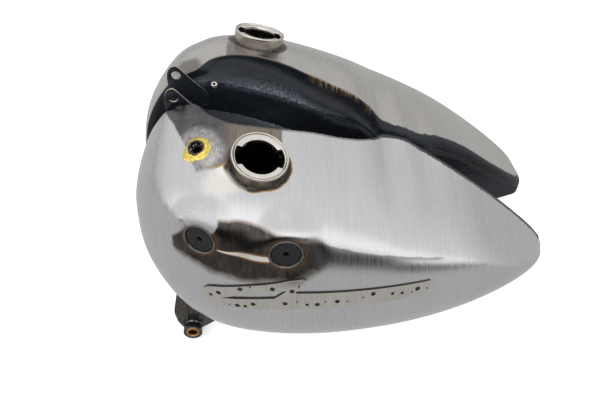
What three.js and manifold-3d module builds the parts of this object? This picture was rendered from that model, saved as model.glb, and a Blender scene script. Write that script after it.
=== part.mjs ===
// Split motorcycle fuel tank: two mirrored sheet-steel halves that sit astride a frame tube.
// Millimetres, +Z up, +X to the rear of the motorcycle, +Y to its right-hand side.
// The halves are drawn level, with the filler mouths at Z = 0, and then set down at the end on the
// surface that they rest on: the two front bushes and the undersides of the tails.

import * as THREE from 'three';
import { mergeVertices } from 'three/addons/utils/BufferGeometryUtils.js';
import Module from 'manifold-3d';

const wasm = await Module();
wasm.setup();

// ---- driving dimensions -------------------------------------------------------------------------

const GAP = 0.3;                 // clearance between pieces that touch
const SHEET = 1.6;               // wall of the pressed shells
const STATIONS = 25;             // loft sections from nose to tail
const SKIN_ROWS = 14;            // facets from the rim to the seam
const REST_PITCH = 9.46;         // degrees, nose up, when the tank stands on a bench
const REST_SHIFT = { x: -64.96, z: 252.111 };

const NECK = { x: 0, y: 109, outer: 28.5, bore: 25.2, lip: 1.2, height: 23 };
const NECK_AXIS = new THREE.Vector3(0.21, 0.249, 0.945).normalize();
const CAM = { mouth: 19.7, notch: 24.3, thick: 1.8, sunk: 1.4, halfAngle: 28, tab: 4 };

const VALVE_BOSS = { x: -62, v: 0.24, outer: 8.6, bore: 6.4, seat: 4.4, rise: 6, depth: 14 };
const VALVE_AXIS = new THREE.Vector3(-0.08, 0.32, 0.944).normalize();
const BRAZE = { outer: 14.4, thick: 1.8 };
const GATE = { outer: 17.6, disc: 14.8, hole: 3, depth: 10, rise: 2.6, sunk: 1.8, tilt: 0.1 };
const GATE_PLACES = [{ name: 'front', x: -61, v: 0.735 }, { name: 'rear', x: 22, v: 0.715 }];

const EAR = { y: 21.3, thick: 2.6, x: -89, z: 5, hole: 5 };
const BRACKET = { x: -87.3, y: 108, z: -258.3, thick: 3, rib: 2.6 };
const BOSS = { outer: 10.9, bore: 8.3, length: 23 };
const BUSH_BORE = 5;
const BUNG = { outer: 11.4, bore: 8, flange: 15, height: 9, v: 1.88, outletX: -62, crossoverX: -8 };
const REAR_TAB = { x: 170, z: -150, length: 40, width: 30, hole: 5, thick: 3, stand: 12 };
const TRIM = { stand: 0.5, thick: 1.2 };
const TRIM_HOLES = [
  [-53, -128, 2.3], [-26, -114.5, 2.3], [16, -106, 2.3], [-8, -135, 2.2], [60, -127, 2], [152, -129, 2],
];
const NIPPLE = { x: -50, outer: 3.2, bore: 1.6, length: 12 };

// Edge lines of one half, nose to tail, on the right-hand side: [x, y, z].
const RIM_LINE = [
  [-134, 24, -102], [-127, 24, -62], [-111, 24, -27], [-91, 25, -4], [-68, 30, 4], [-53, 47, 5],
  [-32, 59, 2], [-5, 61, -2], [25, 58, -10], [52, 51, -20], [83, 45, -33], [106, 38, -42],
  [122, 25, -51], [131, 13, -57], [143, 9, -62], [157, 9, -67], [176, 12, -79], [200, 21, -91],
  [232, 29, -112], [275, 34, -147], [308, 43, -175], [318, 52, -184],
];
const SIDE_LINE = [
  [-134, 25, -109], [-131, 65, -114], [-120, 107, -121], [-93, 145, -131], [-51, 170, -137],
  [0, 182, -141], [50, 185.5, -143], [110, 181, -147], [170, 169, -152], [230, 147, -160],
  [280, 118, -169], [308, 90, -178], [318, 63, -186],
];
const KEEL_LINE = [
  [-134, 24, -116], [-128, 24, -150], [-110, 25, -190], [-80, 26, -221], [-40, 27, -236],
  [30, 28, -240], [120, 28, -234], [200, 29, -222], [260, 31, -208], [300, 35, -199],
  [312, 38, -196], [318, 47, -190],
];
// The inner wall: the floor of the pocket for the instrument panel, then the shoulder of the tunnel.
const LEDGE_LINE = [
  [-134, 22.1, -105], [-111, 22.1, -37], [-91, 22.6, -14], [-62, 31, -4], [-48, 37, -4],
  [5, 42, -21], [43, 38, -38], [77, 33, -54], [104, 24, -67], [121, 11, -72], [134, 3, -71],
  [150, 1.5, -77], [166, 2.5, -85], [183, 6, -93], [200, 14, -102], [232, 22, -122],
  [275, 28, -157], [308, 37, -184], [318, 46, -188],
];

const FRONT_X = -133.95;
const REAR_X = 317.9;
const FULLNESS = { top: 0.7, side: 0.83, low: 0.73 };  // how square the sections are: 0.55 is an ellipse
const INNER_Y = 30;              // mean line of the rims, from which the crown is drawn
const WALL_INSET = 3.2;          // from the shell's inner edges to the face of the inner wall
const CROWN = 6;                 // degrees that the top falls away from its rim
const BOW = { reach: 8, soft: 25, fade: 45 };  // the nose bulges ahead of the inner wall
const SEAM_V = 1.72;             // where the outer skin ends and the belly pan starts

const steel = { color: 0xa9a8a6, roughness: 0.34, metalness: 1 };
const black = { color: 0x15171b, roughness: 0.55, metalness: 0.2 };
const nickel = { color: 0xcfc9bd, roughness: 0.22, metalness: 1 };
const brass = { color: 0xc9a23c, roughness: 0.38, metalness: 1 };
const bronze = { color: 0x8a5a2c, roughness: 0.4, metalness: 1 };
const darkSteel = { color: 0x2c2b2b, roughness: 0.45, metalness: 0.8 };
const plateSteel = { color: 0xb2aea4, roughness: 0.42, metalness: 1 };

const steps = (from, to, count) => Array.from(
  { length: count + 1 }, (_, n) => from + (to - from) * n / count);

// ---- solids ---------------------------------------------------------------------------------------

function solid(geometry) {
  const bare = geometry.clone();
  bare.deleteAttribute('normal');
  bare.deleteAttribute('uv');
  const merged = mergeVertices(bare, 1e-4);
  return new wasm.Manifold(new wasm.Mesh({
    numProp: 3,
    vertProperties: merged.attributes.position.array,
    triVerts: new Uint32Array(merged.index.array),
  }));
}

function geometryOf(manifold) {
  const { vertProperties, triVerts, numProp } = manifold.getMesh();
  const points = new Float32Array(triVerts.length * 3);
  triVerts.forEach((vertex, n) => {
    for (let axis = 0; axis < 3; axis++) points[n * 3 + axis] = vertProperties[vertex * numProp + axis];
  });
  const geometry = new THREE.BufferGeometry();
  geometry.setAttribute('position', new THREE.BufferAttribute(points, 3));
  geometry.computeVertexNormals();
  return geometry;
}

// Turned piece about +Z from a closed outline of [radius, height] points.
function turned(outline, segments = 24) {
  const closed = [...outline, outline[0]].map(([radius, height]) => new THREE.Vector2(radius, height));
  return solid(new THREE.LatheGeometry(closed, segments).rotateX(Math.PI / 2));
}

const ring = (outer, inner, low, high, segments) => turned(
  [[inner, low], [outer, low], [outer, high], [inner, high]], segments);
const rod = (radius, low, high, segments) => turned(
  [[0, low], [radius, low], [radius, high], [0, high]], segments);

function roundHole(x, z, radius, sides) {
  const turns = steps(0, 2 * Math.PI, sides).slice(0, sides);
  return new THREE.Path(turns.map(
    (turn) => new THREE.Vector2(x + radius * Math.cos(turn), z + radius * Math.sin(turn))));
}

// A flat plate whose outline lies in the X-Z plane, centred on y.
function plateXZ(outline, holes, y, thick) {
  const shape = new THREE.Shape(outline.map(([x, z]) => new THREE.Vector2(x, z)));
  for (const [x, z, radius] of holes) shape.holes.push(roundHole(x, z, radius, 24));
  const geometry = new THREE.ExtrudeGeometry(shape, { depth: thick, bevelEnabled: false, curveSegments: 12 });
  geometry.rotateX(Math.PI / 2);
  geometry.translate(0, y + thick / 2, 0);
  return solid(geometry);
}

function placed(manifold, matrix) {
  return manifold.transform(matrix.elements);
}

// A matrix that stands a +Z piece on `point` along `axis`, with its own X kept near the tank's X.
function standing(point, axis) {
  const along = new THREE.Vector3(1, 0, 0);
  const across = new THREE.Vector3().crossVectors(axis, along).normalize();
  along.crossVectors(across, axis).normalize();
  return new THREE.Matrix4().makeBasis(along, across, axis).setPosition(point);
}

// ---- loft -----------------------------------------------------------------------------------------

const edge = (points) => new THREE.CatmullRomCurve3(
  points.map(([x, y, z]) => new THREE.Vector3(x, y, z)), false, 'centripetal');
const rim = edge(RIM_LINE);
const side = edge(SIDE_LINE);
const keel = edge(KEEL_LINE);
const ledge = edge(LEDGE_LINE);

// The point of an edge line at a given x.
function lineAt(curve, x) {
  let low = 0;
  let high = 1;
  for (let n = 0; n < 30; n++) {
    const middle = (low + high) / 2;
    if (curve.getPoint(middle).x < x) low = middle;
    else high = middle;
  }
  return curve.getPoint((low + high) / 2);
}

// Sections crowd towards the nose and the tail, where the form closes.
function stationX(s) {
  const eased = (1 - Math.cos(Math.PI * s)) / 2;
  const smooth = s * s * (3 - 2 * s);
  return FRONT_X + (REAR_X - FRONT_X) * (eased + smooth) / 2;
}

const sections = new Map();
function section(x) {
  if (!sections.has(x)) {
    const [top, out, low] = [rim, side, keel].map((curve) => lineAt(curve, x));
    const reach = FULLNESS.top * (out.y - INNER_Y);
    const fall = Math.tan(THREE.MathUtils.degToRad(CROWN));
    const upper = new THREE.CubicBezierCurve3(
      top,
      new THREE.Vector3(x, INNER_Y + reach, top.z - reach * fall),
      new THREE.Vector3(x, out.y, out.z + FULLNESS.side * (top.z - out.z)),
      out);
    const lower = new THREE.CubicBezierCurve3(
      out,
      new THREE.Vector3(x, out.y, out.z - FULLNESS.low * (out.z - low.z)),
      new THREE.Vector3(x, low.y + FULLNESS.low * (out.y - low.y), low.z),
      low);
    sections.set(x, { upper, lower });
  }
  return sections.get(x);
}

// v runs round the outside: 0 at the rim, 1 at the widest point, 2 at the keel.
function skinPoint(x, v) {
  const { upper, lower } = section(x);
  const point = v <= 1 ? upper.getPoint(v) : lower.getPoint(v - 1);
  const fade = Math.max(0, 1 - (x - FRONT_X) / BOW.fade) ** 2;
  const outward = Math.max(0, point.y - RIM_LINE[0][1]);
  point.x -= BOW.reach * fade * (1 - Math.exp(-outward / BOW.soft));
  return point;
}

function skinNormal(x, v) {
  const along = skinPoint(Math.min(x + 0.5, REAR_X), v).sub(skinPoint(Math.max(x - 0.5, FRONT_X), v));
  const round = skinPoint(x, Math.min(v + 0.02, 2)).sub(skinPoint(x, Math.max(v - 0.02, 0)));
  return along.cross(round).normalize();
}

// A closed sheet: the outer face is `face[i][j]`, and the inner one lies `thick` behind it.
function sheet(face, back) {
  const columns = face.length;
  const rows = face[0].length;
  const points = [];
  for (const grid of [face, back]) {
    for (const column of grid) for (const p of column) points.push(p.x, p.y, p.z);
  }
  const at = (i, j, layer = 0) => layer * columns * rows + i * rows + j;
  const faces = [];
  const quad = (a, b, c, d) => faces.push(a, b, c, a, c, d);
  for (let i = 0; i < columns - 1; i++) {
    for (let j = 0; j < rows - 1; j++) {
      quad(at(i, j), at(i + 1, j), at(i + 1, j + 1), at(i, j + 1));
      quad(at(i, j, 1), at(i, j + 1, 1), at(i + 1, j + 1, 1), at(i + 1, j, 1));
    }
    quad(at(i + 1, 0), at(i, 0), at(i, 0, 1), at(i + 1, 0, 1));
    quad(at(i, rows - 1), at(i + 1, rows - 1), at(i + 1, rows - 1, 1), at(i, rows - 1, 1));
  }
  for (let j = 0; j < rows - 1; j++) {
    quad(at(0, j), at(0, j + 1), at(0, j + 1, 1), at(0, j, 1));
    const last = columns - 1;
    quad(at(last, j + 1), at(last, j), at(last, j, 1), at(last, j + 1, 1));
  }
  const geometry = new THREE.BufferGeometry();
  geometry.setAttribute('position', new THREE.Float32BufferAttribute(points, 3));
  geometry.setIndex(faces);
  return solid(geometry);
}

// A strip of the outer form between two values of v, as a sheet of even thickness.
function skinSheet(xs, vs, lift = 0, thick = SHEET) {
  const face = xs.map((x) => vs.map((v) => skinPoint(x, v).addScaledVector(skinNormal(x, v), lift)));
  const back = xs.map((x) => vs.map(
    (v) => skinPoint(x, v).addScaledVector(skinNormal(x, v), lift - thick)));
  return sheet(face, back);
}

const stations = steps(0, 1, STATIONS).map(stationX);
const skinRows = steps(0, SEAM_V, SKIN_ROWS);
const trimStations = stations.filter((x) => x > -92 && x < 196);

// ---- inner wall -------------------------------------------------------------------------------------

// One section of the inner wall, from the keel up: plane wall, shoulder, ledge and the side of the
// pocket under the rim. Where the rim stands well outboard of the ledge the section is a hollow
// pocket, and elsewhere it is a rounded ridge.
function wallSection(x) {
  const low = lineAt(keel, x);
  const shelf = lineAt(ledge, x);
  const here = lineAt(rim, x);
  const ahead = lineAt(rim, Math.min(x + 1, REAR_X)).sub(lineAt(rim, Math.max(x - 1, FRONT_X)));
  const inboard = new THREE.Vector3(ahead.y, -ahead.x, 0).normalize();
  const top = here.clone().addScaledVector(inboard, WALL_INSET);
  const foot = new THREE.Vector3(x, low.y - WALL_INSET, low.z);
  const drop = 5 + 1.3 * Math.max(0, foot.y - shelf.y);
  const shoulderZ = Math.max(shelf.z - drop, foot.z + 0.35 * (shelf.z - foot.z));
  const shoulder = new THREE.Vector3(x, foot.y, shoulderZ);
  const hollow = THREE.MathUtils.smoothstep(here.y - shelf.y, 9, 15);
  const width = top.y - shelf.y;
  const rise = top.z - shelf.z;
  const flank = new THREE.CubicBezierCurve3(
    shelf,
    new THREE.Vector3(x, shelf.y + 0.6 * hollow * width, shelf.z + (1 - hollow) * 0.5 * rise),
    new THREE.Vector3(top.x, top.y - (1 - hollow) * 0.5 * width, top.z - hollow * 0.6 * rise),
    top);
  const bend = new THREE.CubicBezierCurve3(
    shoulder,
    new THREE.Vector3(x, foot.y, shoulder.z + 0.6 * (shelf.z - shoulder.z)),
    new THREE.Vector3(
      x, shelf.y + hollow * 0.4 * (foot.y - shelf.y), shelf.z - (1 - hollow) * 0.4 * (shelf.z - shoulder.z)),
    shelf);
  return [
    ...steps(0, 1, 2).map((t) => foot.clone().lerp(shoulder, t)),
    ...steps(0, 1, 3).slice(1).map((t) => bend.getPoint(t)),
    ...steps(0, 1, 3).slice(1).map((t) => flank.getPoint(t)),
  ];
}

function wallSheet() {
  const face = stations.map(wallSection);
  const last = stations.length - 1;
  const back = face.map((column, i) => column.map((point, j) => {
    const along = face[Math.min(i + 1, last)][j].clone().sub(face[Math.max(i - 1, 0)][j]);
    const up = column[Math.min(j + 1, column.length - 1)].clone().sub(column[Math.max(j - 1, 0)]);
    return point.clone().addScaledVector(along.cross(up).normalize(), -SHEET);
  }));
  return sheet(face, back);
}

const drill = (place, radius, low, high) => placed(rod(radius, low, high, 24), place);

// ---- fittings -----------------------------------------------------------------------------------

const neckCentre = new THREE.Vector3(NECK.x, NECK.y, 0);
const neckPlace = standing(neckCentre, NECK_AXIS);

// Spun filler neck with a rolled lip, open right through.
function fillerNeck() {
  const { outer, bore, lip, height } = NECK;
  return placed(turned([
    [bore, -height], [outer, -height], [outer, -lip], [outer - 0.35 * lip, -0.35 * lip],
    [outer - lip, 0], [bore + 0.9, 0], [bore, -0.9],
  ], 30), neckPlace);
}

// Pressed bayonet ring inside the neck: two notches for the cap's ears, with turned-down ramp ends.
function bayonetCam() {
  const { mouth, notch, thick, sunk, halfAngle, tab } = CAM;
  const outer = NECK.bore - GAP;
  let cam = ring(outer, mouth, -sunk - thick, -sunk, 30);
  const half = THREE.MathUtils.degToRad(halfAngle);
  for (const turn of [0, Math.PI]) {
    const sector = new THREE.Shape();
    sector.moveTo(0, 0);
    sector.absarc(0, 0, notch, turn - half, turn + half, false);
    const cutter = new THREE.ExtrudeGeometry(sector, { depth: 4 * thick, bevelEnabled: false });
    cutter.translate(0, 0, -sunk - 3 * thick);
    cam = cam.subtract(solid(cutter));
    for (const way of [-1, 1]) {
      const ramp = new THREE.BoxGeometry(notch - mouth - 1, 1.4, tab);
      ramp.translate((notch + mouth) / 2 + 0.3, way * 1.1, -sunk - tab / 2 - 0.3);
      ramp.rotateZ(turn + way * half);
      cam = cam.add(solid(ramp));
    }
  }
  return placed(cam, neckPlace);
}

const bossPlace = standing(skinPoint(VALVE_BOSS.x, VALVE_BOSS.v), VALVE_AXIS);

// The gate bosses stand square to the side of the motorcycle, so their axes are nearly level.
function gatePlace({ x, v }) {
  const axis = skinNormal(x, v).setZ(GATE.tilt).normalize();
  return standing(skinPoint(x, v), axis);
}

// Steel tube for the fuel valve's rod, stepped inside for its packing.
function valveBoss() {
  const { outer, bore, seat, rise, depth } = VALVE_BOSS;
  return placed(turned([
    [seat, -depth], [outer, -depth], [outer, rise - 0.8], [outer - 0.8, rise],
    [bore, rise], [bore, -2], [seat, -2],
  ], 24), bossPlace);
}

// Bead of brass round the boss, lying on the shell.
function brazeRing() {
  const { x, v } = VALVE_BOSS;
  const xs = steps(x - 20, x + 20, 5);
  const vs = steps(v - 0.2, v + 0.2, 4);
  return skinSheet(xs, vs, BRAZE.thick + GAP, BRAZE.thick)
    .intersect(placed(rod(BRAZE.outer, -30, 30, 24), bossPlace))
    .subtract(placed(rod(VALVE_BOSS.outer + GAP, -40, 40, 24), bossPlace));
}

function gateCup(place) {
  const { outer, disc, depth, rise } = GATE;
  return placed(turned([
    [disc + GAP, -depth], [outer, -depth], [outer, rise - 0.9], [outer - 0.9, rise], [disc + 1.1, rise],
    [disc + GAP, rise - 0.8],
  ], 24), place);
}

function gateDisc(place) {
  const { disc, hole, depth, rise, sunk } = GATE;
  const top = rise - sunk;
  return placed(turned([
    [hole, 0.6 - depth], [disc, 0.6 - depth], [disc, top - 0.6], [disc - 0.6, top], [hole + 0.8, top],
    [hole, top - 0.8],
  ], 24), place);
}

const placeAt = (x, y, z, axis) => standing(new THREE.Vector3(x, y, z), axis);
const ACROSS = new THREE.Vector3(0, 1, 0);

// Everything inside the outer form, a little proud of it, for trimming what is welded to the outside.
function envelope() {
  const vs = steps(0, 2, 20);
  const face = stations.map((x) => vs.map((v) => skinPoint(x, v).addScaledVector(skinNormal(x, v), GAP)));
  const back = face.map((column) => column.map((p) => new THREE.Vector3(p.x, 12, p.z)));
  return sheet(face, back);
}

// Upper front ear: a flat plate against the inner wall, with the hole for the tie bolt.
function frontEar() {
  const { x, z, hole, thick, y } = EAR;
  const outline = [
    [-97, -36], [-99, 0], [-98, 9], [-94.5, 14.5], [-89, 17], [-84.5, 13], [-75, 1], [-66, -9],
    [-58, -17], [-56, -24], [-58, -36],
  ];
  return plateXZ(outline, [[x, z, hole]], y - thick / 2, thick);
}

// Lower front bracket: a fan-shaped plate under the nose that narrows to the boss, with two pressed ribs.
function frontBracket(outside) {
  const { x, y, z, thick, rib } = BRACKET;
  const fan = [
    [-100, -190], [-107, -232], [-104, -250], [x - 10, z - 6], [x - 5, z - 11], [x + 5, z - 11],
    [x + 10, z - 6], [-65, -253], [-56, -244], [-52, -190],
  ];
  const ribs = [
    [[x - 6, z + 6], [x - 4, z + 6], [-91, -190], [-93.5, -190]],
    [[x + 5, z + 6], [x + 7, z + 6], [-66, -190], [-68.5, -190]],
  ];
  let plate = plateXZ(fan, [], y, thick);
  for (const outline of ribs) plate = plate.add(plateXZ(outline, [], y + thick / 2 + rib / 2 - 0.1, rib));
  const bore = drill(placeAt(x, y, z, ACROSS), BOSS.outer + GAP, -30, 30);
  return plate.subtract(bore).subtract(outside);
}

const bossAxis = placeAt(BRACKET.x, BRACKET.y, BRACKET.z, ACROSS);

function bracketBoss() {
  const half = BOSS.length / 2;
  return placed(turned([
    [BOSS.bore, -half], [BOSS.outer - 0.6, -half], [BOSS.outer, 0.6 - half], [BOSS.outer, half - 0.6],
    [BOSS.outer - 0.6, half], [BOSS.bore, half],
  ], 24), bossAxis);
}

function bracketBush() {
  const half = BOSS.length / 2;
  const outer = BOSS.bore - GAP;
  return placed(turned([
    [BUSH_BORE, -half], [outer, -half], [outer, half], [BUSH_BORE + 0.8, half], [BUSH_BORE, half - 0.8],
  ], 20), bossAxis);
}

// Threaded bung through the belly pan, with its flange against the outside.
function bung(place) {
  const { outer, bore, flange, height } = BUNG;
  return placed(turned([
    [bore, -8], [outer, -8], [outer, 1.2], [flange, 1.2], [flange, 3.4], [outer, 3.4], [outer, height],
    [bore, height],
  ], 20), place);
}

// Valve seat pressed into the outlet bung.
function valveSeat(place) {
  const outer = BUNG.bore - GAP;
  return placed(turned([[2.5, -4], [outer, -4], [outer, 2], [5, 2], [2.5, 0]], 16), place);
}

function ventNipple(place) {
  const { outer, bore, length } = NIPPLE;
  return placed(turned([
    [bore, -length / 2], [outer, -length / 2], [outer, length / 2 - 2.5], [outer + 0.6, length / 2 - 1.5],
    [outer - 0.6, length / 2], [bore, length / 2],
  ], 12), place);
}

// Joggled tab on the inner wall for the rear tie bolt.
function rearTab() {
  const { x, z, length, width, hole, thick, stand } = REAR_TAB;
  const wallY = lineAt(keel, x - length).y - WALL_INSET - GAP;
  const outline = [
    [x - length, wallY], [x - length, wallY - thick], [x - 16, wallY - thick], [x - 8, wallY - stand - thick],
    [x + 12, wallY - stand - thick], [x + 12, wallY - stand], [x - 6.6, wallY - stand], [x - 14.6, wallY],
  ];
  const shape = new THREE.Shape(outline.map(([px, py]) => new THREE.Vector2(px, py)));
  const body = new THREE.ExtrudeGeometry(shape, { depth: width, bevelEnabled: false });
  body.translate(0, 0, z - width / 2);
  return solid(body).subtract(drill(placeAt(x + 1, wallY - stand, z, ACROSS), hole, -10, 10));
}

// Backing strip for side trim: a thin plate bent to the side, with a window, a notch and screw holes.
function trimPlate() {
  const outline = new THREE.Shape();
  outline.moveTo(-52, -117);
  outline.quadraticCurveTo(-8, -105, 38, -98);
  outline.lineTo(41, -100);
  outline.lineTo(30, -114.5);
  outline.quadraticCurveTo(100, -116, 168, -122.5);
  outline.lineTo(166, -137);
  outline.quadraticCurveTo(20, -134, -47, -144.5);
  outline.quadraticCurveTo(-63, -147, -63, -132);
  outline.quadraticCurveTo(-63, -120, -52, -117);
  const windowPath = new THREE.Path([[-44, -131], [10, -122.5], [22, -111.5], [-10, -115.5]]
    .map(([x, z]) => new THREE.Vector2(x, z)));
  outline.holes.push(windowPath);
  for (const [x, z, radius] of TRIM_HOLES) outline.holes.push(roundHole(x, z, radius, 6));
  const prism = new THREE.ExtrudeGeometry(outline, { depth: 90, bevelEnabled: false, curveSegments: 4 });
  prism.rotateX(Math.PI / 2);
  prism.translate(0, 220, 0);
  const { stand, thick } = TRIM;
  const patch = skinSheet(trimStations, skinRows.slice(5, 11), stand + thick, thick);
  return patch.intersect(solid(prism));
}

// ---- assembly -------------------------------------------------------------------------------------

const tank = new THREE.Group();
const halves = { right: new THREE.Group(), left: new THREE.Group() };
halves.left.scale.y = -1;
tank.add(halves.right, halves.left);

function put(sideName, name, manifold, finish) {
  const mesh = new THREE.Mesh(geometryOf(manifold), new THREE.MeshStandardMaterial(finish));
  mesh.name = `${name}_${sideName}`;
  halves[sideName].add(mesh);
}

const outside = envelope();
const nipplePlace = placeAt(NIPPLE.x, 27, -15, new THREE.Vector3(0, -0.6, 0.8));
const bungOn = (x) => standing(skinPoint(x, BUNG.v), skinNormal(x, BUNG.v));
const outletPlace = bungOn(BUNG.outletX);
const crossoverPlace = bungOn(BUNG.crossoverX);

const skinBlank = skinSheet(stations, skinRows)
  .subtract(drill(neckPlace, NECK.outer + GAP, -60, 30));
const panBlank = skinSheet(stations, steps(SEAM_V + 0.006, 2, 2))
  .subtract(drill(crossoverPlace, BUNG.outer + GAP, -20, 20));
const wallBlank = wallSheet().subtract(drill(nipplePlace, NIPPLE.outer + 0.6 + GAP, -12, 12));

for (const sideName of ['right', 'left']) {
  const isLeft = sideName === 'left';
  let skin = skinBlank;
  let pan = panBlank;
  if (isLeft) {
    skin = skin.subtract(drill(bossPlace, VALVE_BOSS.outer + GAP, -20, 20));
    for (const place of GATE_PLACES) {
      skin = skin.subtract(drill(gatePlace(place), GATE.outer + GAP, -20, 20));
    }
    pan = pan.subtract(drill(outletPlace, BUNG.outer + GAP, -20, 20));
  }
  put(sideName, 'outer_skin', skin, steel);
  put(sideName, 'belly_pan', pan, steel);
  put(sideName, 'tunnel_wall', wallBlank, black);
  put(sideName, 'filler_neck', fillerNeck(), nickel);
  put(sideName, 'bayonet_cam', bayonetCam(), nickel);
  put(sideName, 'front_ear', frontEar(), black);
  put(sideName, 'front_bracket', frontBracket(outside), darkSteel);
  put(sideName, 'bracket_boss', bracketBoss(), darkSteel);
  put(sideName, 'bracket_bush', bracketBush(), bronze);
  put(sideName, 'rear_tab', rearTab(), black);
  put(sideName, 'vent_nipple', ventNipple(nipplePlace), nickel);
  put(sideName, 'crossover_bung', bung(crossoverPlace), darkSteel);
  put(sideName, 'trim_plate', trimPlate(), plateSteel);
}
put('left', 'outlet_bung', bung(outletPlace), darkSteel);
put('left', 'valve_seat', valveSeat(outletPlace), brass);
put('left', 'valve_boss', valveBoss(), darkSteel);
put('left', 'valve_boss_braze', brazeRing(), brass);
for (const place of GATE_PLACES) {
  put('left', `gate_cup_${place.name}`, gateCup(gatePlace(place)), darkSteel);
  put('left', `gate_disc_${place.name}`, gateDisc(gatePlace(place)), darkSteel);
}

tank.rotation.y = THREE.MathUtils.degToRad(REST_PITCH);
tank.position.set(REST_SHIFT.x, 0, REST_SHIFT.z);

export default tank;
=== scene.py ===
import math
import bpy
import bmesh
import numpy as np
from mathutils import Matrix, Vector, noise


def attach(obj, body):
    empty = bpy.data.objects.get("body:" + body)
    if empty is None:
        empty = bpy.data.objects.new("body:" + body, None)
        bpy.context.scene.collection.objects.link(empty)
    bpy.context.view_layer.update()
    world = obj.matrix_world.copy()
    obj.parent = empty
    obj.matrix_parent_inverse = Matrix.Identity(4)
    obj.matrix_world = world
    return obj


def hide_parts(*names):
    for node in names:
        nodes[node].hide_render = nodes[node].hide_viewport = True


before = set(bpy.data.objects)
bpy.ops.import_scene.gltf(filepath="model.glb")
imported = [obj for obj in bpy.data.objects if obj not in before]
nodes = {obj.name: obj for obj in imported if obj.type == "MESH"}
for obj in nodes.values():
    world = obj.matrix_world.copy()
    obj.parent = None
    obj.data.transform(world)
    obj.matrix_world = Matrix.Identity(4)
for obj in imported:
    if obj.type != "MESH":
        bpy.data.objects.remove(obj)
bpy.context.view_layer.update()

scene = bpy.context.scene
scene.view_settings.view_transform = "Standard"

# The tank is drawn level, in metres, with the filler mouths at z = 0, then stood nose up as it rests.
rest = {"pitch": 9.46, "x": -0.06496, "z": 0.252111}
stand = Matrix.Translation((rest["x"], 0, rest["z"])) @ Matrix.Rotation(math.radians(rest["pitch"]), 4, "Y")
mm = 0.001


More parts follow.
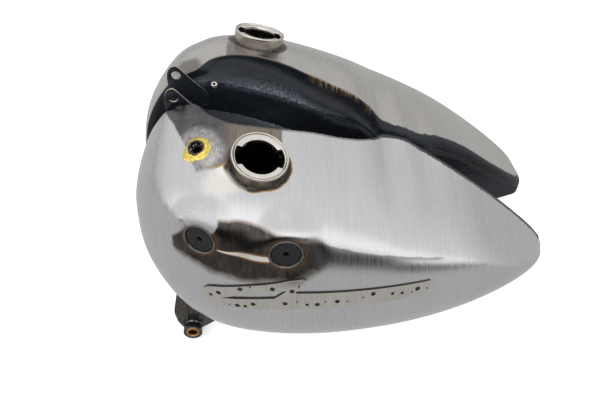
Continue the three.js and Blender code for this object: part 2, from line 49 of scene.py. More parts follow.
class Finish:  # a material and the few shader nodes used here
    def __init__(self, name):
        self.material = bpy.data.materials.new(name)
        self.material.use_nodes = True
        self.tree = self.material.node_tree
        self.tree.nodes.clear()
        self.shader = self.tree.nodes.new("ShaderNodeBsdfPrincipled")
        out = self.tree.nodes.new("ShaderNodeOutputMaterial")
        self.tree.links.new(self.shader.outputs[0], out.inputs["Surface"])
        level = self.tree.nodes.new("ShaderNodeMapping")  # back from the resting stance to the level drawing
        level.vector_type = "TEXTURE"
        level.inputs["Location"].default_value = (rest["x"], 0, rest["z"])
        level.inputs["Rotation"].default_value = (0, math.radians(rest["pitch"]), 0)
        self.feed(level.inputs["Vector"], self.tree.nodes.new("ShaderNodeTexCoord").outputs["Object"])
        self.coords = level.outputs[0]

    def feed(self, socket, value):
        if isinstance(value, bpy.types.NodeSocket):
            self.tree.links.new(value, socket)
            return
        if isinstance(value, (tuple, list)) and len(value) == 3 and socket.type == "RGBA":
            value = (*value, 1)
        socket.default_value = value

    def calc(self, how, a, b=0.5):
        n = self.tree.nodes.new("ShaderNodeMath")
        n.operation = how
        self.feed(n.inputs[0], a)
        self.feed(n.inputs[1], b)
        return n.outputs[0]

    def plus(self, a, b):
        return self.calc("ADD", a, b)

    def less(self, a, b):
        return self.calc("SUBTRACT", a, b)

    def times(self, a, b):
        return self.calc("MULTIPLY", a, b)

    def nudge(self, value, sway, amount):  # a value moved a little by another
        return self.plus(value, self.times(sway, amount))

    def overlap(self, *amounts):  # where all of several masks hold
        total = amounts[0]
        for amount in amounts[1:]:
            total = self.times(total, amount)
        return total

    def stored(self, name):  # a value kept on the mesh
        n = self.tree.nodes.new("ShaderNodeAttribute")
        n.attribute_name = name
        return n.outputs["Fac"]

    def vector(self, how, a, b=(0, 0, 0)):
        n = self.tree.nodes.new("ShaderNodeVectorMath")
        n.operation = how
        self.feed(n.inputs[0], a)
        self.feed(n.inputs[1], b)
        return n.outputs["Value"] if how in ("LENGTH", "DOT_PRODUCT") else n.outputs[0]

    def part(self, axis):
        n = self.tree.nodes.new("ShaderNodeSeparateXYZ")
        self.feed(n.inputs[0], self.coords)
        return n.outputs[axis]

    def noise(self, scale, detail=2.0, stretch=(1, 1, 1), rough=0.5):
        n = self.tree.nodes.new("ShaderNodeTexNoise")
        self.feed(n.inputs["Vector"], self.vector("MULTIPLY", self.coords, stretch))
        n.inputs["Scale"].default_value = scale
        n.inputs["Detail"].default_value = detail
        n.inputs["Roughness"].default_value = rough
        return n.outputs["Fac"]

    def span(self, value, low, high, start=0.0, end=1.0):
        n = self.tree.nodes.new("ShaderNodeMapRange")
        n.interpolation_type = "SMOOTHSTEP"
        for socket, given in zip(list(n.inputs)[:5], (value, low, high, start, end)):
            self.feed(socket, given)
        return n.outputs[0]

    def ramp(self, value, *stops):
        n = self.tree.nodes.new("ShaderNodeValToRGB")
        self.feed(n.inputs[0], value)
        marks = n.color_ramp.elements
        while len(marks) < len(stops):
            marks.new(0.5)
        for mark, (place, colour) in zip(marks, stops):
            mark.position = place
            mark.color = (*colour, 1)
        return n.outputs[0]

    def blend(self, amount, a, b, how="MIX"):
        n = self.tree.nodes.new("ShaderNodeMix")
        n.data_type = "RGBA"
        n.blend_type = how
        self.feed(n.inputs[0], amount)
        self.feed(n.inputs[6], a)
        self.feed(n.inputs[7], b)
        return n.outputs[2]

    def profile(self, value, points):  # a smooth line of height against length, through a few points
        start, reach = points[0][0], points[-1][0] - points[0][0]
        low = min(p[1] for p in points)
        rise = max(p[1] for p in points) - low
        share = self.calc("DIVIDE", self.less(value, start), reach)
        stops = [((x - start) / reach, ((z - low) / rise,) * 3) for x, z in points]
        return self.plus(self.times(self.ramp(share, *stops), rise), low)

    def away(self, point, axis=None, stretch=(1, 1, 1)):  # distance from a point, or from a line through it
        offset = self.vector("SUBTRACT", self.coords, tuple(point))
        if axis is not None:
            offset = self.vector("CROSS_PRODUCT", offset, tuple(Vector(axis).normalized()))
        if stretch != (1, 1, 1):
            offset = self.vector("MULTIPLY", offset, stretch)
        return self.vector("LENGTH", offset)

    def bump(self, height, strength, distance, under=None):
        n = self.tree.nodes.new("ShaderNodeBump")
        n.inputs["Strength"].default_value = strength
        n.inputs["Distance"].default_value = distance
        self.feed(n.inputs["Height"], height)
        if under is not None:
            self.feed(n.inputs["Normal"], under)
        return n.outputs[0]

    def done(self, colour, metal, rough, normal=None):
        self.feed(self.shader.inputs["Base Color"], colour)
        self.feed(self.shader.inputs["Metallic"], metal)
        self.feed(self.shader.inputs["Roughness"], rough)
        if normal is not None:
            self.feed(self.shader.inputs["Normal"], normal)
        return self.material


# The form of one half, as in the sheet-metal drawing: right-hand edge lines from nose to tail, in mm.
form = {
    "rim": [
        (-134, 24, -102), (-127, 24, -62), (-111, 24, -27), (-91, 25, -4), (-68, 30, 4), (-53, 47, 5),
        (-32, 59, 2), (-5, 61, -2), (25, 58, -10), (52, 51, -20), (83, 45, -33), (106, 38, -42),
        (122, 25, -51), (131, 13, -57), (143, 9, -62), (157, 9, -67), (176, 12, -79), (200, 21, -91),
        (232, 29, -112), (275, 34, -147), (308, 43, -175), (318, 52, -184)],
    "side": [
        (-134, 25, -109), (-131, 65, -114), (-120, 107, -121), (-93, 145, -131), (-51, 170, -137),
        (0, 182, -141), (50, 185.5, -143), (110, 181, -147), (170, 169, -152), (230, 147, -160),
        (280, 118, -169), (308, 90, -178), (318, 63, -186)],
    "keel": [
        (-134, 24, -116), (-128, 24, -150), (-110, 25, -190), (-80, 26, -221), (-40, 27, -236),
        (30, 28, -240), (120, 28, -234), (200, 29, -222), (260, 31, -208), (300, 35, -199),
        (312, 38, -196), (318, 47, -190)],
    "ledge": [
        (-134, 22.1, -105), (-111, 22.1, -37), (-91, 22.6, -14), (-62, 31, -4), (-48, 37, -4),
        (5, 42, -21), (43, 38, -38), (77, 33, -54), (104, 24, -67), (121, 11, -72), (134, 3, -71),
        (150, 1.5, -77), (166, 2.5, -85), (183, 6, -93), (200, 14, -102), (232, 22, -122),
        (275, 28, -157), (308, 37, -184), (318, 46, -188)],
    "front": -133.95, "rear": 317.9, "innerY": 30, "crown": 6,
    "fullTop": 0.7, "fullSide": 0.83, "fullLow": 0.73, "bow": 8, "seam": 1.72,
}


def smoothLine(points):  # a centripetal spline through the points, as close-spaced rows of x, y, z
    pts = [np.array(p, float) for p in points]
    rows = []
    for i in range(len(pts) - 1):
        p1, p2 = pts[i], pts[i + 1]
        p0 = pts[i - 1] if i else 2 * p1 - p2
        p3 = pts[i + 2] if i + 2 < len(pts) else 2 * p2 - p1
        d0, d1, d2 = (math.sqrt(np.linalg.norm(b - a)) for a, b in ((p0, p1), (p1, p2), (p2, p3)))
        t1 = ((p1 - p0) / d0 - (p2 - p0) / (d0 + d1) + (p2 - p1) / d1) * d1
        t2 = ((p2 - p1) / d1 - (p3 - p1) / (d1 + d2) + (p3 - p2) / d2) * d1
        for t in np.linspace(0, 1, 40):
            bend = (3 * p2 - 3 * p1 - 2 * t1 - t2) * t * t
            rows.append(p1 + t1 * t + bend + (2 * p1 - 2 * p2 + t1 + t2) * t ** 3)
    return np.array(rows)


lines = {name: smoothLine(form[name]) for name in ("rim", "side", "keel", "ledge")}


def smoothed(x, z):  # evens out the listed rim, so that the crown behind it runs fair
    rows = np.arange(form["front"], form["rear"], 2.0)
    heights = np.interp(rows, x, z)
    fair = []
    for place in rows:
        width = 3 + 24 * np.clip((place + 70) / 110, 0, 1) * np.clip((form["rear"] - place) / 60, 0.2, 1)
        weight = np.exp(-((rows - place) / width) ** 2 / 2)
        fair.append(np.polynomial.polynomial.polyfit(rows - place, heights, 1, w=np.sqrt(weight))[0])
    return rows, np.array(fair)


crown = smoothed(lines["rim"][:, 0], lines["rim"][:, 2])


def lineAt(name, x):
    line = lines[name]
    return np.interp(x, line[:, 0], line[:, 1]), np.interp(x, line[:, 0], line[:, 2])


def bezier(t, a, b, c, d):
    return (1 - t) ** 3 * a + 3 * (1 - t) ** 2 * t * b + 3 * (1 - t) * t * t * c + t ** 3 * d


def skinAt(x, v):  # v is 0 at the rim, 1 at the widest point, 2 at the keel; arrays are welcome
    x, v = np.broadcast_arrays(np.asarray(x, float), np.asarray(v, float))
    topY, topZ = lineAt("rim", x)
    outY, outZ = lineAt("side", x)
    lowY, lowZ = lineAt("keel", x)
    reach = form["fullTop"] * (outY - form["innerY"])
    fall = math.tan(math.radians(form["crown"]))
    t = np.clip(v, 0, 1)
    s = np.clip(v - 1, 0, 1)
    upY = bezier(t, topY, form["innerY"] + reach, outY, outY)
    crownZ = np.interp(x, *crown)
    upZ = bezier(t, topZ, crownZ - reach * fall, outZ + form["fullSide"] * (crownZ - outZ), outZ)
    downY = bezier(s, outY, outY, lowY + form["fullLow"] * (outY - lowY), lowY)
    downZ = bezier(s, outZ, outZ - form["fullLow"] * (outZ - lowZ), lowZ, lowZ)
    y = np.where(v <= 1, upY, downY)
    z = np.where(v <= 1, upZ, downZ)
    fade = np.maximum(0, 1 - (x - form["front"]) / 45) ** 2
    bulge = form["bow"] * fade * (1 - np.exp(-np.maximum(0, y - 24) / 25))
    return np.stack([x - bulge, y, z], axis=-1)


def skinNormal(x, v):
    along = skinAt(np.minimum(x + 0.5, form["rear"]), v) - skinAt(np.maximum(x - 0.5, form["front"]), v)
    around = skinAt(x, np.minimum(v + 0.02, 2)) - skinAt(x, np.maximum(v - 0.02, 0))
    n = np.cross(along, around)
    return n / np.linalg.norm(n, axis=-1, keepdims=True)


def stationsX(count):
    s = np.linspace(0, 1, count)
    eased = (1 - np.cos(np.pi * s)) / 2
    return form["front"] + (form["rear"] - form["front"]) * (eased + s * s * (3 - 2 * s)) / 2


def standing(point, axis):  # a frame at a point with +Z along the axis, its X kept near the tank's
    axis = Vector(axis).normalized()
    across = axis.cross(Vector((1, 0, 0))).normalized()
    along = across.cross(axis).normalized()
    m = Matrix.Identity(4)
    for i, column in enumerate((along, across, axis, Vector(point))):
        for j in range(3):
            m[j][i] = column[j]
    return m


def gridFaces(columns, rows, keep=None):
    faces = []
    for i in range(columns - 1):
        for j in range(rows - 1):
            if keep is None or keep[i, j]:
                a = i * rows + j
                faces.append((a, a + rows, a + rows + 1, a + 1))
    return faces


# Pieces are made for the right half in mm; the left half's are mirrored.
def addPiece(name, verts, faces, materials, side="right", at=None, stands=(), slot="bare_steel", sharp=35,
             merge=0):
    points = [Vector(p) for p in verts]
    if at is not None:
        points = [at @ p for p in points]
    if side == "left":
        points = [Vector((p.x, -p.y, p.z)) for p in points]
        faces = [tuple(reversed(f)) for f in faces]
    mesh = bpy.data.meshes.new(name)
    mesh.from_pydata([stand @ (p * mm) for p in points], [], faces)
    work = bmesh.new()
    work.from_mesh(mesh)
    if merge:
        bmesh.ops.remove_doubles(work, verts=work.verts, dist=merge * mm)
        bmesh.ops.recalc_face_normals(work, faces=work.faces)
    loose = [v for v in work.verts if not v.link_faces]
    bmesh.ops.delete(work, geom=loose, context="VERTS")
    for f in work.faces:
        f.smooth = True
    work.to_mesh(mesh)
    work.free()
    mesh.set_sharp_from_angle(angle=math.radians(sharp))
    for material in materials if isinstance(materials, (list, tuple)) else [materials]:
        mesh.materials.append(material)
    obj = bpy.data.objects.new(name, mesh)
    scene.collection.objects.link(obj)
    if stands:
        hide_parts(*stands)
    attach(obj, "root")
    return obj


def turned(profile, segments=96, wobble=None):  # a closed outline of radius and height, turned about +Z
    rows = len(profile)
    verts = []
    for k in range(segments):
        turn = 2 * math.pi * k / segments
        for i, (r, h) in enumerate(profile):
            dr, dh = wobble(turn, i, r, h) if wobble else (0, 0)
            verts.append(((r + dr) * math.cos(turn), (r + dr) * math.sin(turn), h + dh))
    faces = []
    for k in range(segments):
        a, b = k * rows, (k + 1) % segments * rows
        for i in range(rows):
            j = (i + 1) % rows
            if profile[i][0] == 0 and profile[j][0] == 0:
                continue
            faces.append((a + i, b + i, b + j, a + j))
    return verts, faces


def tubeAlong(points, radius, sides=12, flat=1.0, lumps=0.0, lumpScale=0.3):
    pts = [Vector(p) for p in points]
    verts, faces = [], []
    for i, p in enumerate(pts):
        ahead = (pts[min(i + 1, len(pts) - 1)] - pts[max(i - 1, 0)]).normalized()
        across = ahead.cross(Vector((0, 0, 1))).normalized()
        up = across.cross(ahead).normalized()
        taper = min(1, 0.35 + i / 4, 0.35 + (len(pts) - 1 - i) / 4)
        for k in range(sides):
            turn = 2 * math.pi * k / sides
            out = across * math.cos(turn) + up * math.sin(turn) * flat
            swell = 1 + lumps * noise.noise((p + out * radius) * lumpScale)
            verts.append(p + out * radius * taper * swell)
    for i in range(len(pts) - 1):
        for k in range(sides):
            a, b = i * sides + k, i * sides + (k + 1) % sides
            faces.append((a, b, b + sides, a + sides))
    faces.append(tuple(reversed(range(sides))))
    faces.append(tuple(range((len(pts) - 1) * sides, len(pts) * sides)))
    return verts, faces


def roundLoop(x, z, radius, count=28):
    return [(x + radius * math.cos(2 * math.pi * k / count), z + radius * math.sin(2 * math.pi * k / count))
            for k in range(count)]


def arcCorners(outline, radius, steps=5):  # rounds the corners of an outline
    loop = []
    n = len(outline)
    for i, p in enumerate(outline):
        p = Vector(p)
        a = Vector(outline[i - 1]) - p
        b = Vector(outline[(i + 1) % n]) - p
        cut = min(radius, a.length * 0.45, b.length * 0.45)
        start, end = p + a.normalized() * cut, p + b.normalized() * cut
        for k in range(steps + 1):
            t = k / steps
            loop.append(tuple((1 - t) ** 2 * start + 2 * t * (1 - t) * p + t * t * end))
    return loop


def cutPlate(outline, holes, thick, soften=0.25):  # a plate in the X-Z plane, centred on y = 0
    curve = bpy.data.curves.new("plateOutline", "CURVE")
    curve.dimensions = "2D"
    curve.fill_mode = "BOTH"
    curve.extrude = thick / 2 - soften
    curve.bevel_depth = soften
    curve.bevel_resolution = 1
    curve.offset = -soften
    for loop in [outline] + list(holes):
        spline = curve.splines.new("POLY")
        spline.points.add(len(loop) - 1)
        for point, (x, z) in zip(spline.points, loop):
            point.co = (x, z, 0, 1)
        spline.use_cyclic_u = True
    obj = bpy.data.objects.new("plateOutline", curve)
    scene.collection.objects.link(obj)
    bpy.context.view_layer.update()
    mesh = bpy.data.meshes.new_from_object(obj.evaluated_get(bpy.context.evaluated_depsgraph_get()))
    verts = [(v.co.x, -v.co.z, v.co.y) for v in mesh.vertices]
    faces = [tuple(p.vertices) for p in mesh.polygons]
    bpy.data.objects.remove(obj)
    bpy.data.curves.remove(curve)
    bpy.data.meshes.remove(mesh)
    return verts, faces


def local(place, points):  # points seen from a frame
    m = np.array(place.inverted())
    return points @ m[:3, :3].T + m[:3, 3]


def ease(value, low, high):
    t = np.clip((value - low) / (high - low), 0, 1)
    return t * t * (3 - 2 * t)


neck = {"centre": (0, 109, 0), "axis": (0.21, 0.249, 0.945), "outer": 28.5, "bore": 25.2, "height": 23}
valve = {"x": -62, "v": 0.24, "axis": (-0.08, 0.32, 0.944), "outer": 8.6, "bore": 6.4, "seat": 4.4,
         "rise": 6, "worn": 2.2}
gate = {"front": (-61, 0.735), "rear": (22, 0.715), "outer": 17.6, "disc": 14.8, "hole": 2.6, "tilt": 0.1}
neckPlace = standing(neck["centre"], neck["axis"])
valvePlace = standing(skinAt(valve["x"], valve["v"]), valve["axis"])


def gatePlace(which):
    x, v = gate[which]
    n = Vector(skinNormal(x, v))
    n.z = gate["tilt"]
    return standing(skinAt(x, v), n)


gatePlaces = {which: gatePlace(which) for which in ("front", "rear")}


# Finishes. Their coordinates are the level drawing's, in metres, with the left half at negative y.
def at(place, side):
    p = place.translation * mm
    return (p.x, -p.y if side == "left" else p.y, p.z)


def axisOf(place, side):
    a = place.to_3x3() @ Vector((0, 0, 1))
    return (a.x, -a.y if side == "left" else a.y, a.z)


def steelFinish(side):
    f = Finish("bareSteel_" + side)
    warm = side == "right"
    fine = f.noise(1, 3, (1700, 45, 45), 0.7)
    long = f.noise(1, 2, (420, 12, 12), 0.6)
    cloud = f.noise(14, 3)
    grain = f.nudge(f.times(fine, 0.6), long, 0.4)
    base = f.ramp(grain, (0.3, (0.45, 0.435, 0.415) if warm else (0.50, 0.495, 0.50)),
                  (0.7, (0.54, 0.52, 0.49) if warm else (0.60, 0.598, 0.605)))
    base = f.blend(f.span(cloud, 0.4, 0.75, 0, 0.18), base, (0.42, 0.41, 0.40))
    rough = f.span(fine, 0.3, 0.7, 0.20, 0.30)
    normal = f.bump(fine, 0.10, 0.0002)
    wander = f.less(f.noise(55, 4, (1, 1, 1), 0.6), 0.5)

    # brown and blue hugging the filler neck, with a straw edge
    fromNeck = f.away(at(neckPlace, side), axisOf(neckPlace, side))
    wings = f.times(f.calc("ABSOLUTE", f.part(0)), 0.10)
    heat = f.span(f.less(fromNeck, f.nudge(wings, wander, 0.006)), 0.0275, 0.0325, 1, 0)
    tint = f.ramp(heat, (0.0, (0.60, 0.55, 0.47)), (0.15, (0.46, 0.33, 0.17)), (0.4, (0.14, 0.09, 0.06)),
                  (0.7, (0.055, 0.05, 0.055)), (1.0, (0.03, 0.03, 0.033)))
    colour = f.blend(f.span(heat, 0.01, 0.12), base, tint)
    if side == "left":
        colour, rough = nearStains(f, colour, rough, fine, wander)
    else:
        colour = farStains(f, colour, fine, wander)
    # paint brought over the edge of the tail from the inner wall
    reach = f.span(f.part(0), 0.105, 0.130, 0.0, 0.0075)
    painted = f.less(f.stored("edge"), f.times(f.noise(160, 4, (1, 1, 1), 0.75), reach))
    painted = f.span(painted, 0.0000, 0.0009, 1, 0)
    painted = f.times(painted, f.span(f.part(0), 0.108, 0.118))
    colour = f.blend(painted, colour, (0.014, 0.016, 0.020))
    return f.done(colour, f.less(1.0, painted), rough, normal)


def nearStains(f, colour, rough, fine, wander):
    side = "left"
    x, y, z = f.part(0), f.part(1), f.part(2)
    # a stain round the valve boss and over to the neck, cut off by straight polished edges
    front = f.nudge(f.times(f.plus(x, 0.096), 0.924), f.plus(y, 0.0343), 0.382)
    front = f.span(f.nudge(front, wander, 0.004), 0.0, 0.0022)
    low = f.less(f.plus(y, 0.097), f.times(x, 0.43))
    low = f.nudge(low, wander, 0.006)
    above = f.span(low, -0.0005, 0.0010)
    rear = f.span(f.nudge(x, wander, 0.002), 0.0205, 0.0225, 1, 0)
    stain = f.overlap(front, above, rear, f.span(y, -0.112, -0.118, 1, 0))
    fromValve = f.away(at(valvePlace, side), axisOf(valvePlace, side))
    brown = f.ramp(fine, (0.3, (0.13, 0.10, 0.08)), (0.7, (0.30, 0.255, 0.215)))
    dark = f.ramp(f.noise(120, 3), (0.3, (0.075, 0.075, 0.082)), (0.7, (0.125, 0.122, 0.125)))
    stainColour = f.blend(f.span(x, -0.045, -0.020), dark, brown)
    rings = f.noise(1, 2)
    circles = f.calc("SINE", f.times(f.nudge(fromValve, rings, 0.0004), 4200.0))
    ground = f.ramp(f.plus(f.times(circles, 0.25), f.noise(210, 3)), (0.25, (0.16, 0.15, 0.14)),
                    (0.75, (0.46, 0.45, 0.44)))
    fromRing = f.nudge(fromValve, wander, 0.012)
    stainColour = f.blend(f.span(fromRing, 0.020, 0.031, 0.95, 0), stainColour, ground)
    lip = f.span(low, 0.0010, 0.0055, 1, 0)
    stainColour = f.blend(f.overlap(lip, f.span(x, -0.036, -0.030, 1, 0)), stainColour, (0.30, 0.19, 0.09))
    colour = f.blend(stain, colour, stainColour)
    # bright polished steel below it, left of the neck, partly a painted highlight
    polishAndHighlight = f.away((-0.036, -0.128, -0.016), None, (1 / 0.022, 1 / 0.012, 1 / 0.02))
    colour = f.blend(f.overlap(f.span(polishAndHighlight, 0.5, 1.3, 0.7, 0), f.less(1.0, above)), colour,
                     (0.80, 0.765, 0.69))
    fromNeck = f.away(at(neckPlace, side), axisOf(neckPlace, side))
    gap = f.span(f.nudge(fromNeck, wander, 0.004), 0.0275, 0.0345, 1, 0)
    colour = f.blend(f.overlap(gap, f.span(x, -0.012, -0.022)), colour, (0.045, 0.035, 0.03))
    # blued and browned steel about the shift gate bosses, under the edge of the shoulder
    upper = f.profile(x,
                      [(-0.090, -0.070), (-0.070, -0.049), (-0.042, -0.0374), (-0.012, -0.0414),
                       (0.026, -0.049), (0.054, -0.062), (0.074, -0.071), (0.114, -0.0855), (0.156, -0.0995),
                       (0.190, -0.111)])
    lower = f.profile(x,
                      [(-0.090, -0.086), (-0.072, -0.092), (-0.052, -0.099), (-0.014, -0.103),
                       (0.026, -0.102), (0.044, -0.095), (0.066, -0.086)])
    depth = f.nudge(f.less(upper, z), wander, 0.0035)
    rise = f.nudge(f.less(z, lower), wander, 0.012)
    ends = f.overlap(f.span(f.nudge(x, wander, 0.008), -0.0910, -0.0870),
                     f.span(x, 0.045, 0.078, 1, 0), f.span(y, -0.125, -0.13))
    burnt = f.ramp(f.noise(1, 4, (140, 40, 40), 0.65), (0.3, (0.026, 0.025, 0.025)),
                   (0.5, (0.048, 0.043, 0.039)), (0.7, (0.088, 0.076, 0.066)))
    colour = f.blend(f.overlap(ends, f.span(depth, -0.002, 0.001), f.span(rise, -0.005, 0.002), 0.8), colour,
                     (0.24, 0.20, 0.165))
    colour = f.blend(f.overlap(ends, f.span(depth, 0.0, 0.003), f.span(rise, 0.0, 0.007), 0.97), colour,
                     burnt)
    # and a dark wedge that follows the shoulder back: a painted reflection of the dark room, partly heat
    # tint
    width = f.span(x, 0.05, 0.17, 0.020, 0.004)
    reflectionWedge = f.overlap(f.span(depth, -0.0004, 0.0008),
                      f.span(f.calc("DIVIDE", depth, width), 0.15, 1.0, 0.62, 0),
                      f.span(x, 0.040, 0.060), f.span(x, 0.176, 0.188, 1, 0), f.span(y, -0.125, -0.13))
    colour = f.blend(reflectionWedge, colour, (0.07, 0.07, 0.075))
    for which in ("front", "rear"):
        fromGate = f.away(at(gatePlaces[which], side), axisOf(gatePlaces[which], side))
        straw = f.span(f.nudge(fromGate, wander, 0.006), 0.0180, 0.0225, 1, 0)
        colour = f.blend(f.times(straw, 0.6), colour, (0.15, 0.075, 0.03))
    # the strip between the bosses that the heat didn't reach
    height = f.plus(f.nudge(z, x, 0.12), 0.0745)
    thick = f.span(x, -0.048, -0.004, 0.0007, 0.0030)
    across = f.calc("DIVIDE", f.calc("ABSOLUTE", height), thick)
    inside = f.overlap(f.span(x, -0.0455, -0.0425), f.span(x, 0.0045, 0.0075, 1, 0),
                       f.span(y, -0.15, -0.14, 1, 0))
    colour = f.blend(f.overlap(f.span(across, 1.2, 2.0, 1, 0), inside), colour, (0.30, 0.16, 0.065))
    colour = f.blend(f.overlap(f.span(across, 0.7, 1.25, 1, 0), inside), colour, (0.88, 0.84, 0.74))
    # a patch sanded with a round pad
    patch = f.away((-0.0585, -0.148, -0.0415), None, (1 / 0.0175, 1 / 0.03, 1 / 0.012))
    patch = f.span(f.nudge(patch, wander, 0.25), 0.95, 1.08, 1, 0)
    colour = f.blend(patch, colour,
                     f.ramp(f.noise(900, 2), (0.3, (0.46, 0.45, 0.46)), (0.7, (0.66, 0.65, 0.66))))
    rough = f.blend(patch, rough, (0.5, 0.5, 0.5))
    return colour, rough


def farStains(f, colour, fine, wander):
    x, y = f.part(0), f.part(1)
    # smoked steel between the far neck and the rim, and a smudge at the front of the rim
    along = f.nudge(x, wander, 0.004)
    smoke = f.overlap(f.span(along, -0.0385, -0.0360), f.span(along, 0.012, 0.030, 1, 0),
                      f.span(f.nudge(y, wander, 0.02), 0.088, 0.100, 1, 0))
    smoked = f.ramp(fine, (0.3, (0.10, 0.092, 0.085)), (0.7, (0.22, 0.205, 0.19)))
    colour = f.blend(f.times(smoke, 0.85), colour, smoked)
    smudge = f.away((-0.078, 0.040, -0.002), None, (1 / 0.016, 1 / 0.022, 1 / 0.03))
    smudge = f.span(f.nudge(smudge, wander, 0.8), 0.6, 1.2, 0.75, 0)
    colour = f.blend(smudge, colour, (0.10, 0.09, 0.085))
    # browning just over the rim, where the pocket was welded
    under = f.span(f.nudge(f.stored("edge"), wander, 0.006), 0.0005, 0.0045, 1, 0)
    return f.blend(f.overlap(under, 0.6, f.span(x, 0.104, 0.118, 1, 0)), colour, (0.17, 0.115, 0.075))


def paintFinish(name="blackPaint", welded=False, gloss=0.5):
    f = Finish(name)
    strokes = f.noise(1, 4, (60, 60, 260), 0.6)
    cloud = f.noise(22, 4)
    colour = f.ramp(cloud, (0.3, (0.006, 0.008, 0.011)), (0.6, (0.012, 0.015, 0.020)),
                    (0.8, (0.024, 0.029, 0.037)))
    rough = f.span(strokes, 0.3, 0.7, 0.24, 0.42)
    normal = f.bump(strokes, 0.30, 0.0006)
    normal = f.bump(cloud, 0.45, 0.003, normal)
    metal = 0.0
    if welded:
        # thin paint on the weld bead, and brown and gold streaks just under the rim
        pits = f.noise(420, 3, (1, 1, 1), 0.7)
        bead = f.times(f.stored("weld"), f.span(pits, 0.35, 0.62))
        colour = f.blend(f.times(bead, 0.8), colour, (0.15, 0.18, 0.215))
        streaks = f.span(f.noise(1, 3, (420, 20, 20), 0.7), 0.42, 0.62)
        length = f.span(f.nudge(f.stored("edge"), f.noise(120, 2), 0.004), 0.002, 0.0115, 1, 0)
        burn = f.overlap(streaks, length, f.span(f.part(0), 0.045, 0.065),
                         f.span(f.part(0), 0.118, 0.128, 1, 0))
        colour = f.blend(burn, colour,
                         f.ramp(f.noise(60, 2), (0.4, (0.30, 0.17, 0.07)), (0.65, (0.46, 0.38, 0.28))))
        metal = f.times(burn, 0.9)
        normal = f.bump(pits, 0.5, 0.0010, normal)
    f.shader.inputs["Specular IOR Level"].default_value = gloss
    return f.done(colour, metal, rough, normal)


def metalFinish(name, dark, light, rough, grain=(400, 400, 400), depth=0.12, metal=1.0, speckle=0.0):
    f = Finish(name)
    fine = f.noise(1, 3, grain, 0.6)
    colour = f.ramp(fine, (0.3, dark), (0.7, light))
    if speckle:
        spots = f.span(f.noise(700, 2), 0.55, 0.7)
        colour = f.blend(f.times(spots, speckle), colour, tuple(c * 0.35 for c in dark))
    cloud = f.noise(40, 3)
    roughMap = f.span(cloud, 0.3, 0.7, rough * 0.8, rough * 1.25)
    return f.done(colour, metal, roughMap, f.bump(fine, depth, 0.0003))


steel = {side: steelFinish(side) for side in ("left", "right")}
# the insides of the skins and pans, and the skins' cut edges: dark oxide, made darker still as painted shade
# inside the closed tank
oxideAndShadeInside = metalFinish("oxideAndShadeInside", (0.012, 0.011, 0.010), (0.03, 0.028, 0.026), 0.8, (60, 60, 60),
                         metal=0.2)
blackPaint = paintFinish()
wallPaint = {"right": paintFinish("wallPaint", True, 0.28), "left": paintFinish("nearWallPaint", True, 0.08)}
nickel = metalFinish("nickel", (0.52, 0.485, 0.425), (0.64, 0.605, 0.54), 0.20, (60, 60, 900), 0.06)
nickelEdge = metalFinish("nickelEdge", (0.60, 0.575, 0.53), (0.70, 0.675, 0.63), 0.22, (90, 90, 90), 0.05)
brass = metalFinish("brazeBrass", (0.62, 0.42, 0.05), (0.95, 0.80, 0.24), 0.26, (420, 420, 420), 0.7, 1.0,
                    0.85)
bronze = metalFinish("bushBronze", (0.28, 0.13, 0.05), (0.50, 0.28, 0.12), 0.35, (200, 900, 200), 0.1)
burntSteel = metalFinish("burntSteel", (0.05, 0.046, 0.044), (0.13, 0.12, 0.11), 0.38, (300, 300, 300), 0.25)
cupSteel = metalFinish("cupSteel", (0.10, 0.098, 0.097), (0.19, 0.185, 0.18), 0.30, (300, 300, 300), 0.15)
gateSteel = metalFinish("gateSteel", (0.016, 0.016, 0.017), (0.035, 0.035, 0.037), 0.5, (500, 500, 500),
                        0.15, 0.7)
wornEdge = metalFinish("wornEdge", (0.30, 0.26, 0.22), (0.62, 0.58, 0.52), 0.28, (300, 300, 300), 0.1)
plateSteel = metalFinish("plateSteel", (0.47, 0.45, 0.41), (0.60, 0.58, 0.54), 0.42, (900, 40, 40), 0.12)
# painted shade, for the trim plates' cut edges and hole walls and the sheet behind them
gapShade = metalFinish("gapShade", (0.03, 0.028, 0.027), (0.07, 0.066, 0.062), 0.6, (300, 300, 300), 0.1,
                       0.6)
weldSteel = metalFinish("weldSteel", (0.05, 0.055, 0.065), (0.20, 0.21, 0.23), 0.42, (250, 250, 250), 0.5)
print("finishes made")


# Outer skins, one smooth sheet each from the rim to the seam, and the belly pans below them.
skin = {"columns": 200, "rows": 128, "thick": 1.4, "dish": 42, "gatePlane": 1.0}


def keepValues(obj, name, values):  # one number for each vertex, for the finishes to read
    store = obj.data.attributes.new(name, "FLOAT", "POINT")
    store.data.foreach_set("value", values.astype(np.float32))


def thicken(obj, thick, slot=0, rimSlot=0):  # the slots are for its inside and its cut edges
    sheet = obj.modifiers.new("sheet", "SOLIDIFY")
    sheet.thickness = thick * mm
    sheet.offset = -1
    sheet.material_offset = slot
    sheet.material_offset_rim = rimSlot


def dished(points, side):  # the left skin is pressed flat round its gate bosses
    if side == "left":
        for place in gatePlaces.values():
            seen = local(place, points)
            r = np.hypot(seen[..., 0], seen[..., 1])
            near = (1 - ease(r, gate["outer"], skin["dish"])) * (np.abs(seen[..., 2]) < 30)
            axis = np.array(place.to_3x3() @ Vector((0, 0, 1)))
            points = points + axis * ((skin["gatePlane"] - seen[..., 2]) * near)[..., None]
    return points


def skinGrid(side, fromV, toV, columns, rows):
    return dished(skinAt(stationsX(columns)[:, None], np.linspace(fromV, toV, rows)[None, :]), side)


